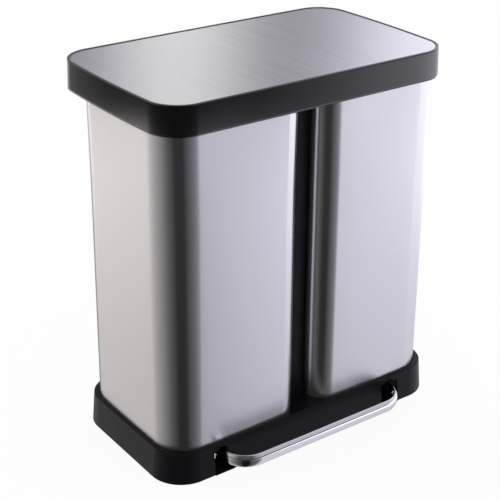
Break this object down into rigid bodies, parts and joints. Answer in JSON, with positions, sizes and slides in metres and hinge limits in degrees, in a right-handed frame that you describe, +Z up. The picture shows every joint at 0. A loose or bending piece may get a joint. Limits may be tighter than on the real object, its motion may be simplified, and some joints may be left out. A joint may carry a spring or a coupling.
{
  "type": "double recycling bin",
  "caption": "Double pedal bin with two brushed-steel columns, inner buckets, one hinged lid and a chrome pedal bar worked by a push rod.",
  "frame": {"origin": "on the floor under the middle of the whole footprint, from the front of the pedal bar to the back of the lid", "axes": "+X to the right seen from the front, +Y to the back, +Z up"},
  "size_m": [0.5704, 0.3824, 0.65],
  "materials": {
    "brushed_steel": "fine vertical brushing, satin",
    "black_plastic": "fine satin moulded surface",
    "lid_plastic": "satin gloss moulded surface",
    "bucket_plastic": "matt",
    "damper_plastic": "matt",
    "rubber": "matt",
    "zinc_steel": "bright zinc plated",
    "chrome": "bright chrome plate"
  },
  "bodies": {
    "bin": {"base_tray": "black_plastic", "left_body_shell": "brushed_steel", "right_body_shell": "brushed_steel", "groove_strip": "black_plastic", "rear_channel": "black_plastic", "top_collar": "black_plastic", "left_bucket": "bucket_plastic", "right_bucket": "bucket_plastic", "rubber_feet": "rubber", "foot_screws": "zinc_steel", "lid_bumpers": "rubber", "hinge_pin": "zinc_steel", "hinge_caps": "black_plastic", "pedal_axle": "zinc_steel", "axle_clips": "zinc_steel", "damper_body": "damper_plastic"},
    "lid": {"lid_frame": "lid_plastic", "lid_panel": "brushed_steel", "lid_liner": "black_plastic", "lid_screws": "zinc_steel", "lid_crank": "zinc_steel", "crank_screws": "zinc_steel"},
    "push_rod": {"push_rod": "zinc_steel", "rod_clips": "zinc_steel"},
    "pedal": {"pedal_bar": "chrome", "pivot_tube": "zinc_steel", "pedal_lever": "zinc_steel", "pedal_gussets": "zinc_steel"},
    "damper_rod": {"damper_rod": "zinc_steel"}
  },
  "joints": [
    {"name": "lid_hinge", "type": "hinge", "parent": "bin", "child": "lid", "pos_m": [0, 0.15732, 0.612], "axis": [-1, 0, 0], "range_deg": [0, 80]},
    {"name": "push_rod_pivot", "type": "hinge", "parent": "lid", "child": "push_rod", "pos_m": [0, 0.13356, 0.5937], "axis": [-1, 0, 0], "range_deg": [-80, 0]},
    {"name": "pedal_pivot", "type": "hinge", "parent": "bin", "child": "pedal", "pos_m": [0, -0.08868, 0.032], "axis": [1, 0, 0], "range_deg": [0, 9.91]},
    {"name": "damper_slide", "type": "slide", "parent": "bin", "child": "damper_rod", "axis": [0, 0, 1], "range_m": [0, 0.03355]}
  ],
  "couplings": [
    {"joint": "push_rod_pivot", "follows": "lid_hinge", "ratio": -1},
    {"joint": "pedal_pivot", "follows": "lid_hinge", "ratio": 0.12387},
    {"joint": "damper_slide", "follows": "lid_hinge", "m_per_rad": 0.02403}
  ]
}
